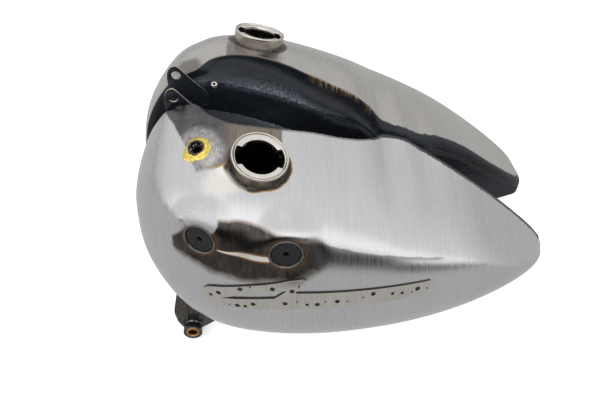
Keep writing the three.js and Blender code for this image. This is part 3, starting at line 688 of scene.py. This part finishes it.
def buildSkin(side):
    columns, rows = skin["columns"], skin["rows"]
    points = skinGrid(side, 0, form["seam"], columns, rows)
    middle = (points[:-1, :-1] + points[1:, :-1] + points[:-1, 1:] + points[1:, 1:]) / 4
    holes = [(neckPlace, 25.6)]
    if side == "left":
        holes += [(valvePlace, 7)] + [(place, 15.6) for place in gatePlaces.values()]
    keep = np.ones(middle.shape[:2], bool)
    for place, radius in holes:
        seen = local(place, middle)
        keep &= ~((np.hypot(seen[..., 0], seen[..., 1]) < radius) & (np.abs(seen[..., 2]) < 28))
    obj = addPiece("outerSkin_" + side, points.reshape(-1, 3), gridFaces(columns, rows, keep),
                   [steel[side], oxideAndShadeInside], side, stands=["outer_skin_" + side], sharp=60)
    # the distance from the rim along the sheet, for the paint and the tint there
    steps = np.linalg.norm(np.diff(points, axis=1), axis=2)
    edge = np.concatenate([np.zeros((columns, 1)), np.cumsum(steps, axis=1)], axis=1).reshape(-1) * mm
    used = sorted({index for face in gridFaces(columns, rows, keep) for index in face})
    keepValues(obj, "edge", edge[used])
    thicken(obj, skin["thick"], 1, 1)


def buildPan(side):
    points = skinGrid(side, form["seam"] + 0.003, 2, 160, 24)
    obj = addPiece("bellyPan_" + side, points.reshape(-1, 3), gridFaces(160, 24), [steel[side], oxideAndShadeInside],
                   side, stands=["belly_pan_" + side], sharp=60)
    keepValues(obj, "edge", np.ones(160 * 24))
    thicken(obj, skin["thick"], 1)
    # a ground-back weld along the seam
    seam = skinAt(stationsX(150)[3:-3], form["seam"])
    addPiece("seamWeld_" + side, *tubeAlong(seam, 0.9, 8, 0.6, 0.8, 0.8), steel[side], side)


for side in ("right", "left"):
    buildSkin(side)
    buildPan(side)
print("skins made")


# Inner walls: the plane of the tunnel, its shoulder, the pocket's ledge and the side up to the rim.
wall = {
    "inset": 0.7, "columns": 300, "plane": 30, "bend": 36, "flank": 22, "thick": 1.2, "dents": 0.35,
    "weld": [(-60, -10.2), (-35, -13.6), (-12, -19.5), (15, -28.4), (43, -41.5), (74, -60.7), (105, -76),
             (122, -78), (134, -72)],
    "weldWidth": 3.4, "weldRise": 1.3,
}


def wallSection(x):
    lowY, lowZ = lineAt("keel", x)
    shelfY, shelfZ = lineAt("ledge", x)
    rimY, rimZ = lineAt("rim", x)
    nextY, _ = lineAt("rim", min(x + 1, form["rear"]))
    lastY, _ = lineAt("rim", max(x - 1, form["front"]))
    slope = (nextY - lastY) / 2
    size = math.hypot(slope, 1)
    topX, topY, topZ = x + wall["inset"] * slope / size, rimY - wall["inset"] / size, rimZ - 0.3
    footY = lowY - 1.2
    drop = 5 + 1.3 * max(0, footY - shelfY)
    bendZ = max(shelfZ - drop, lowZ + 0.35 * (shelfZ - lowZ))
    hollow = float(ease(rimY - shelfY, 9, 15))
    width, rise = topY - shelfY, topZ - shelfZ
    rows = [np.array((x, footY, lowZ + (bendZ - lowZ) * t)) for t in np.linspace(0, 1, wall["plane"])]
    for t in np.linspace(0, 1, wall["bend"])[1:]:
        rows.append(bezier(t, np.array((x, footY, bendZ)),
                           np.array((x, footY, bendZ + 0.6 * (shelfZ - bendZ))),
                           np.array((x, shelfY + hollow * 0.4 * (footY - shelfY),
                                     shelfZ - (1 - hollow) * 0.4 * (shelfZ - bendZ))),
                           np.array((x, shelfY, shelfZ))))
    for t in np.linspace(0, 1, wall["flank"])[1:]:
        rows.append(bezier(t, np.array((x, shelfY, shelfZ)),
                           np.array((x, shelfY + 0.6 * hollow * width, shelfZ + (1 - hollow) * 0.5 * rise)),
                           np.array((topX, topY - (1 - hollow) * 0.5 * width, topZ - hollow * 0.6 * rise)),
                           np.array((topX, topY, topZ))))
    return rows


def buildWall(side):
    grid = np.array([wallSection(float(x)) for x in stationsX(wall["columns"])])
    columns, rows = grid.shape[:2]
    steps = np.linalg.norm(np.diff(grid[:, ::-1], axis=1), axis=2)
    edge = np.concatenate([np.zeros((columns, 1)), np.cumsum(steps, axis=1)], axis=1)[:, ::-1]
    # the weld that joins the pocket to the tunnel wall lies on the shoulder, a broad uneven bead
    track = np.array(wall["weld"])
    low = np.interp(grid[..., 0], track[:, 0], track[:, 1])
    ends = ease(grid[..., 0], -78, -62) * (1 - ease(grid[..., 0], 130, 140))
    weld = np.exp(-((grid[..., 2] - low) / wall["weldWidth"]) ** 2) * ends
    for i in range(columns):
        for j in range(2, rows - 3):
            p = Vector(grid[i, j])
            lump = 0.55 + 0.8 * noise.noise(p * 0.5)
            grid[i, j, 1] += wall["dents"] * (noise.noise(p * 0.035) + 0.4 * noise.noise(p * 0.11))
            grid[i, j, 1] -= wall["weldRise"] * weld[i, j] * lump
            grid[i, j, 2] += wall["weldRise"] * weld[i, j] * lump * 0.5
    obj = addPiece("tunnelWall_" + side, grid.reshape(-1, 3), gridFaces(columns, rows), wallPaint[side],
                   side, stands=["tunnel_wall_" + side], slot="black_paint", sharp=50)
    for name, values in (("edge", edge * mm), ("weld", weld)):
        keepValues(obj, name, values.reshape(-1))
    thicken(obj, wall["thick"])


for side in ("right", "left"):
    buildWall(side)
print("walls made")


# Filler necks, each with its bayonet ring.
cam = {"mouth": 19.7, "notch": 24.3, "thick": 1.6, "sunk": 1.6, "half": 28, "lip": 3.2}


def buildNeck(side):
    outer, bore, height = neck["outer"], neck["bore"], neck["height"]
    profile = [(bore, -height), (outer - 0.3, -height), (outer - 0.3, -3.2), (outer, -2.6), (outer, -1.2),
               (outer - 0.15, -0.6), (outer - 0.5, -0.15), (outer - 1.0, 0), (outer - 1.6, -0.15),
               (outer - 2.0, -0.6), (outer - 2.1, -1.3), (outer - 2.5, -1.9), (bore, -2.0)]
    addPiece("fillerNeck_" + side, *turned(profile, 144), [nickel], side, neckPlace,
             ["filler_neck_" + side], "nickel_plate", 50)
    half = math.radians(cam["half"])
    verts, segments = [], 240
    for k in range(segments):
        turn = 2 * math.pi * k / segments
        off = min(abs(turn), abs(turn - math.pi), abs(turn - 2 * math.pi))
        shut = float(ease(off, half - 0.03, half + 0.03))
        inner = cam["notch"] + (cam["mouth"] - cam["notch"]) * shut
        # the ramps turn down next to the notches
        ramp = cam["lip"] * shut * (1.0 if off > half + 0.12 else 1.35)
        top, low = -cam["sunk"], -cam["sunk"] - cam["thick"]
        for r, h in ((bore - 0.1, low), (bore - 0.1, top), (inner + 1.2, top), (inner + 0.4, top - 0.25),
                     (inner, top - 0.9), (inner, low - ramp), (inner + 0.9, low - ramp), (inner + 1.2, low)):
            verts.append((r * math.cos(turn), r * math.sin(turn), h))
    faces = []
    for k in range(segments):
        a, b = k * 8, (k + 1) % segments * 8
        for i in range(8):
            j = (i + 1) % 8
            faces.append((a + i, b + i, b + j, a + j))
    addPiece("bayonetRing_" + side, verts, faces, [nickelEdge], side, neckPlace, ["bayonet_cam_" + side],
             "nickel_plate", 40, merge=0.001)
    # solder fillet where the neck stands on the skin
    foot = []
    for k in range(121):
        turn = 2 * math.pi * k / 120
        # slide down the neck until the skin is met
        vs = np.linspace(0.02, 1.2, 240)
        deep = -12.0
        for _ in range(4):
            q = neckPlace @ Vector((outer * math.cos(turn), outer * math.sin(turn), deep))
            surface = skinAt(q.x, vs)
            z = float(np.interp(q.y, surface[:, 1], surface[:, 2]))
            deep += (z - q.z) / neck["axis"][2]
        foot.append(tuple(neckPlace @ Vector(((outer + 0.2) * math.cos(turn), (outer + 0.2) * math.sin(turn),
                                              deep))))
    addPiece("neckFillet_" + side, *tubeAlong(foot, 1.0, 8, 1.0, 0.5, 0.5), burntSteel, side)


for side in ("right", "left"):
    buildNeck(side)


# Fuel-valve boss in its bead of brass.
def buildValve():
    outer, bore, seat, rise = valve["outer"], valve["bore"], valve["seat"], valve["rise"]
    rise -= valve["worn"]
    profile = [(seat, -13.5), (outer, -13.5), (outer, rise - 1.1), (outer - 0.4, rise - 0.3),
               (outer - 1.0, rise),
               (bore + 0.5, rise), (bore, rise - 0.5), (bore, -2), (seat + 0.5, -2), (seat, -2.5)]
    addPiece("valveBoss", *turned(profile, 96), [burntSteel], "left", valvePlace, ["valve_boss_left"],
             "dark_steel", 40)
    du = (skinAt(valve["x"] + 1, valve["v"]) - skinAt(valve["x"] - 1, valve["v"])) / 2
    dv = (skinAt(valve["x"], valve["v"] + 0.02) - skinAt(valve["x"], valve["v"] - 0.02)) / 0.04
    n = skinNormal(valve["x"], valve["v"])
    e1 = du / np.linalg.norm(du)
    e2 = np.cross(n, e1)
    basis = np.array([[du @ e1, dv @ e1], [du @ e2, dv @ e2]])
    verts, faces = [], []
    around, across = 120, 14
    for k in range(around):
        turn = 2 * math.pi * k / around
        edge = 14.2 + 0.9 * noise.noise((math.cos(turn) * 3, math.sin(turn) * 3, 1.5))
        for i in range(across):
            t = i / (across - 1)
            r = 8.0 + (edge - 8.0) * t
            step = np.linalg.solve(basis, np.array((r * math.cos(turn), r * math.sin(turn))))
            p = skinAt(valve["x"] + step[0], valve["v"] + step[1])
            lift = 2.4 * (1 - t ** 1.6) + 0.12
            lift += 0.7 * (1 - t) * noise.noise(Vector(p) * 0.45)
            verts.append(p + n * lift * (1 if t < 1 else 0))
    for k in range(around):
        for i in range(across - 1):
            a, b = k * across + i, (k + 1) % around * across + i
            faces.append((a, a + 1, b + 1, b))
    addPiece("valveBraze", verts, faces, [brass], "left", None, ["valve_boss_braze_left"], "brass", 60)


buildValve()


# Shift gate bosses: a cup let into the skin, with a turned disc in it.
def buildGates():
    outer, disc, hole = gate["outer"], gate["disc"], gate["hole"]
    for which, place in gatePlaces.items():
        top = 2.2
        cup = [(disc + 0.1, -9), (outer, -9), (outer, top - 1.0), (outer - 0.3, top - 0.35),
               (outer - 0.9, top),
               (outer - 1.6, top - 0.1), (disc + 0.5, top - 0.6), (disc + 0.1, top - 1.2)]
        addPiece("gateCup_" + which, *turned(cup, 120), [cupSteel], "left", place,
                 [f"gate_cup_{which}_left"], "gate_steel", 50)
        face = [(hole, -8), (disc - 0.1, -8), (disc - 0.1, 0.2), (disc - 0.6, 0.7)]
        for k in range(1, 9):  # shallow turning steps
            r = disc - 0.6 - k * (disc - hole - 2.6) / 9
            face += [(r + 0.12, 0.7 - 0.03 * (k % 2)), (r, 0.66 + 0.04 * (k % 2))]
        face += [(hole + 1.4, 0.62), (hole + 0.5, 0.2), (hole, -0.6)]
        addPiece("gateDisc_" + which, *turned(face, 120), [gateSteel], "left", place,
                 [f"gate_disc_{which}_left"], "gate_steel", 60)


buildGates()
print("necks and bosses made")


# Trim backing plates on both sides.
trim = {
    "stand": 0.9, "thick": 0.9, "cell": 4,
    "big": [(-23.9, -113.4), (-45.9, -123.9), (8.1, -109.6), (27.3, -111.6), (-27.9, -138.2),
            (-11.9, -133.4),
            (20.1, -129.1), (52.1, -130.6), (72.1, -127.9), (108.1, -123.3), (154.1, -127.9)],
    "middle": [(-53.9, -129.7), (-19.9, -137.6), (42.1, -130.5), (128.1, -127.3), (138.1, -128.9)],
    "small": [(-35.9, -138.5), (60.1, -127.6), (82.1, -129.1), (98.1, -126.3), (148.1, -130.4),
              (164.1, -130.0), (32.1, -126.4), (-13.9, -108.9), (34.1, -105.7)],
}


def quadratic(a, b, c, count=12):
    return [tuple((1 - t) ** 2 * np.array(a) + 2 * t * (1 - t) * np.array(b) + t * t * np.array(c))
            for t in np.linspace(0, 1, count)]


def trimVerts(flat, side, lift):  # lays a plate drawn flat in X-Z on the skin, at its stand-off
    flat = np.array(flat)
    x, depth, z = flat[:, 0], flat[:, 1], flat[:, 2]
    vs = np.linspace(0.4, 1.4, 90)
    heights = skinAt(x[:, None], vs[None, :])[..., 2]
    v = np.array([np.interp(-z[i], -heights[i], vs) for i in range(len(z))])
    return dished(skinAt(x, v), side) + skinNormal(x, v) * (lift + depth)[:, None]


def buildTrim(side):
    outline = (quadratic((-52, -117), (-8, -105), (38, -98)) + [(41, -99)]
               + quadratic((30, -114.5), (100, -116), (168, -122.5), 20)
               + quadratic((166, -137), (20, -134), (-47, -144.5), 24)
               + quadratic((-48, -144.8), (-63, -147), (-63, -132), 8)[1:]
               + quadratic((-63, -132), (-63, -120), (-52.5, -117.2), 8)[1:-1])
    window = [(-44, -131), (10, -122.5), (22, -111.5), (-10, -115.5)]
    holes = [roundLoop(x, z, 2.5) for x, z in trim["big"]]
    holes += [roundLoop(x, z, 1.8, 20) for x, z in trim["middle"]]
    holes += [roundLoop(x, z, 1.0, 14) for x, z in trim["small"]]
    layTrim("trimPlate_" + side, outline, holes + [window], trim["thick"], trim["stand"],
            [plateSteel, gapShade], side, ["trim_plate_" + side])
    # a dark sheet under the plate, painted shadow in the gap behind it
    layTrim("trimShadowSheet_" + side, outline, [window], trim["stand"] - 0.2, 0.1, [gapShade], side, [])


def layTrim(name, outline, holes, thick, gap, materials, side, stands):
    verts, faces = cutPlate(outline, holes, thick, 0.05)
    mesh = bpy.data.meshes.new("flatPlate")
    mesh.from_pydata([Vector(v) for v in verts], [], faces)
    work = bmesh.new()
    work.from_mesh(mesh)
    bmesh.ops.remove_doubles(work, verts=work.verts, dist=0.001)
    bmesh.ops.triangulate(work, faces=work.faces)
    cuts = [((x, 0, 0), (1, 0, 0)) for x in range(-60, 168, trim["cell"])]
    cuts += [((0, 0, z), (0, 0, 1)) for z in range(-144, -98, trim["cell"])]
    for point, across in cuts:
        everything = list(work.verts) + list(work.edges) + list(work.faces)
        bmesh.ops.bisect_plane(work, geom=everything, plane_co=point, plane_no=across)
    bmesh.ops.recalc_face_normals(work, faces=work.faces)
    work.verts.index_update()
    bent = trimVerts([v.co for v in work.verts], side, gap + thick / 2)
    faces = [tuple(v.index for v in f.verts) for f in work.faces]
    cutEdges = [abs(f.normal.y) < 0.9 for f in work.faces]
    work.free()
    bpy.data.meshes.remove(mesh)
    obj = addPiece(name, bent, faces, materials, side, None, stands, "plate_steel", 30)
    # the plate's cut edges and hole walls take the dark second finish, painted shade
    if len(materials) > 1:
        for polygon, edge in zip(obj.data.polygons, cutEdges):
            polygon.material_index = int(edge)


for side in ("right", "left"):
    buildTrim(side)
print("trim plates made")


# Ears, lower brackets, bushes, and the small fittings.
def splitEdges(obj, cosine=0.85):  # the cut edges of a plate show bare metal
    for polygon in obj.data.polygons:
        if abs(polygon.normal.y) < cosine:
            polygon.material_index = 1


ear = {
    "outline": [(-97, -36), (-99, 0), (-98, 9), (-94.5, 14.5), (-89, 17), (-84.5, 13), (-75, 1), (-66, -9),
                (-58, -17), (-56, -24), (-58, -36)],
    "hole": (-89, 5, 5, 36), "thick": 2.6, "out": 20,
}
bracket = {
    "place": (-87.3, 108, -258.3), "thick": 3, "front": [(-100, -196), (-107, -232), (-104, -250)],
    "cradle": [(-10.6, -3), (-6, -10.8), (6, -10.8), (10.6, -3)],
    "rear": [(-65, -253), (-56, -244), (-52, -200)],
    "ribs": [((-5, 9), (-93, -205)), ((6, 9), (-67, -205))], "ribWide": 2.6, "ribOut": 1.2,
    "boss": [(8.1, -11.5), (10.3, -11.5), (10.8, -11.0), (10.8, 11.0), (10.3, 11.5), (8.6, 11.5),
             (8.1, 11.1)],
    "bush": [(5, -11.4), (8.0, -11.4), (8.0, 11.0), (7.6, 11.4), (5.7, 11.4), (5, 10.6)],
    "bead": 11.4, "beadOut": 2.2, "beadWide": 1.5,
}
nipple = {
    "outline": [(1.6, -6), (3.2, -6), (3.2, 2.6), (3.4, 3.0), (3.9, 3.6), (3.9, 4.2), (3.4, 5.2), (2.7, 5.9),
                (2.2, 6), (1.6, 5.6)],
    "place": (-50, 27, -15), "axis": (0, -0.6, 0.8),
}


def buildEar(side):
    verts, faces = cutPlate(arcCorners(ear["outline"], 3), [roundLoop(*ear["hole"])], ear["thick"], 0.35)
    obj = addPiece("frontEar_" + side, [(x, y + ear["out"], z) for x, y, z in verts], faces,
                   [blackPaint, wornEdge], side, None, ["front_ear_" + side], "black_paint", 40, merge=0.001)
    splitEdges(obj, 0.3)


def buildBracket(side):
    x, y, z = bracket["place"]
    cradle = [(x + a, z + c) for a, c in bracket["cradle"]]
    fan = arcCorners(bracket["front"] + cradle + bracket["rear"], 5)
    verts, faces = cutPlate(fan, [], bracket["thick"], 0.4)
    addPiece("bracketPlate_" + side, [(a, b + y, c) for a, b, c in verts], faces, [burntSteel], side, None,
             ["front_bracket_" + side], "dark_steel", 40, merge=0.001)
    for offset, head in bracket["ribs"]:
        foot = (x + offset[0], z + offset[1])
        track = [(foot[0] + (head[0] - foot[0]) * t, y + bracket["ribOut"],
                  foot[1] + (head[1] - foot[1]) * t)
                 for t in np.linspace(0, 1, 24)]
        addPiece(f"bracketRib_{side}_{head[0]}".replace("-", "m"),
                 *tubeAlong(track, bracket["ribWide"], 14, 0.9, 0.1, 0.2), burntSteel, side,
                 slot="dark_steel")
    bossPlace = standing((x, y, z), (0, 1, 0))
    for name, material, slot in (("Boss", burntSteel, "dark_steel"), ("Bush", bronze, "bronze")):
        node = f"bracket_{name.lower()}_{side}"
        addPiece(f"bracket{name}_{side}", *turned(bracket[name.lower()], 72), [material], side, bossPlace,
                 [node], slot, 40)
    bead = [(x + bracket["bead"] * math.cos(a), y + bracket["beadOut"], z + bracket["bead"] * math.sin(a))
            for a in np.linspace(0.3, 2.8, 40)]
    addPiece("bracketWeld_" + side, *tubeAlong(bead, bracket["beadWide"], 8, 1, 0.8, 0.7), weldSteel, side,
             slot="dark_steel")


def buildNipple(side):
    addPiece("ventNipple_" + side, *turned(nipple["outline"], 48), [nickelEdge], side,
             standing(nipple["place"], nipple["axis"]), ["vent_nipple_" + side], "nickel_plate", 50)


for side in ("right", "left"):
    buildEar(side)
    buildBracket(side)
    buildNipple(side)
for name, material in (("rear_tab", blackPaint), ("crossover_bung", burntSteel), ("outlet_bung", burntSteel),
                       ("valve_seat", brass)):
    for side in ("right", "left"):
        obj = nodes.get(f"{name}_{side}")
        if obj:
            obj.data.materials.clear()
            obj.data.materials.append(material)
print("fittings made")


# Floor, light and camera.
def sheetOf(name, reach, height, material):
    obj = bpy.data.objects.new(name, bpy.data.meshes.new(name))
    obj.data.from_pydata([(-reach, -reach, height), (reach, -reach, height), (reach, reach, height),
                          (-reach, reach, height)], [], [(0, 1, 2, 3)])
    obj.data.materials.append(material)
    scene.collection.objects.link(obj)
    return obj


stage = {
    "floorGlow": 0.55, "cardNear": 0.60, "cardFar": 0.03, "cardEdge": (-1.25, -0.85), "tentPower": 2.0,
    "tent": [(0.0, 0.03), (0.085, 0.03), (0.112, 0.85), (0.22, 0.80), (0.36, 0.54), (0.75, 0.49),
             (1.0, 0.37)],
}
paper = Finish("floorPaper")
paper.feed(paper.shader.inputs["Emission Color"], (1.0, 1.0, 1.0))
paper.feed(paper.shader.inputs["Emission Strength"], stage["floorGlow"])
sheetOf("floor", 6, 0, paper.done((0.93, 0.93, 0.93), 0.0, 0.9))

# what the polished metal sees of the floor: pale close by, a dark room beyond its front edge
card = Finish("reflectedFloor")
card.feed(card.shader.inputs["Emission Color"], (1.0, 1.0, 1.0))
card.feed(card.shader.inputs["Emission Strength"],
          card.span(card.part(1), *stage["cardEdge"], stage["cardFar"], stage["cardNear"]))
reflected = sheetOf("reflectedFloor", 5.9, 0.002, card.done((0.0, 0.0, 0.0), 0.0, 1.0))
reflected.visible_camera = False
reflected.visible_diffuse = False
reflected.visible_shadow = False

# a white tent over the tank, open and dark low down in front
world = bpy.data.worlds.new("studio")
scene.world = world
world.use_nodes = True
sky = world.node_tree
sky.nodes.clear()
direction = sky.nodes.new("ShaderNodeTexCoord").outputs["Generated"]
split = sky.nodes.new("ShaderNodeSeparateXYZ")
sky.links.new(direction, split.inputs[0])


def skyCalc(how, first, second):
    n = sky.nodes.new("ShaderNodeMath")
    n.operation = how
    for socket, value in zip(list(n.inputs)[:2], (first, second)):
        if isinstance(value, float):
            socket.default_value = value
        else:
            sky.links.new(value, socket)
    return n.outputs[0]


frontward = skyCalc("MULTIPLY", split.outputs[1], -1.0)
height = skyCalc("ARCTAN2", split.outputs[2], frontward)
share = skyCalc("DIVIDE", height, math.pi)
tent = sky.nodes.new("ShaderNodeValToRGB")
sky.links.new(share, tent.inputs[0])
while len(tent.color_ramp.elements) < len(stage["tent"]):
    tent.color_ramp.elements.new(0.5)
for mark, (place, bright) in zip(tent.color_ramp.elements, stage["tent"]):
    mark.position = place
    mark.color = (bright, bright, bright * 1.01, 1)
back = sky.nodes.new("ShaderNodeBackground")
sky.links.new(tent.outputs[0], back.inputs["Color"])
back.inputs["Strength"].default_value = stage["tentPower"]
out = sky.nodes.new("ShaderNodeOutputWorld")
sky.links.new(back.outputs[0], out.inputs[0])

lamps = {
    "overhead": ((0.0, 0.25, 1.7), (0.0, 0.0, 0.0), (0.9, 0.6), 1.2),
}
for name, (place, target, size, power) in lamps.items():
    light = bpy.data.lights.new(name, "AREA")
    light.shape = "RECTANGLE"
    light.size, light.size_y = size
    light.energy = power
    obj = bpy.data.objects.new(name, light)
    obj.location = place
    obj.rotation_euler = (Vector(target) - Vector(place)).to_track_quat("-Z", "Y").to_euler()
    scene.collection.objects.link(obj)

view = {"place": (0.0181, -0.7232, 0.5285), "right": (0.99925, -0.03862, 0),
        "down": (-0.0268, -0.69329, -0.72016), "ahead": (0.02782, 0.71962, -0.69381), "film": 36, "lens": 50,
        "near": 0.01}
lens = bpy.data.cameras.new("camera")
lens.sensor_width = view["film"]
lens.lens = view["lens"]
lens.clip_start = view["near"]
camera = bpy.data.objects.new("camera", lens)
turn = Matrix.Identity(4)
for i, column in enumerate((Vector(view["right"]), -Vector(view["down"]), -Vector(view["ahead"]),
                            Vector(view["place"]))):
    for j in range(3):
        turn[j][i] = column[j]
camera.matrix_world = stand @ turn
scene.collection.objects.link(camera)
scene.camera = camera
print("stage made")
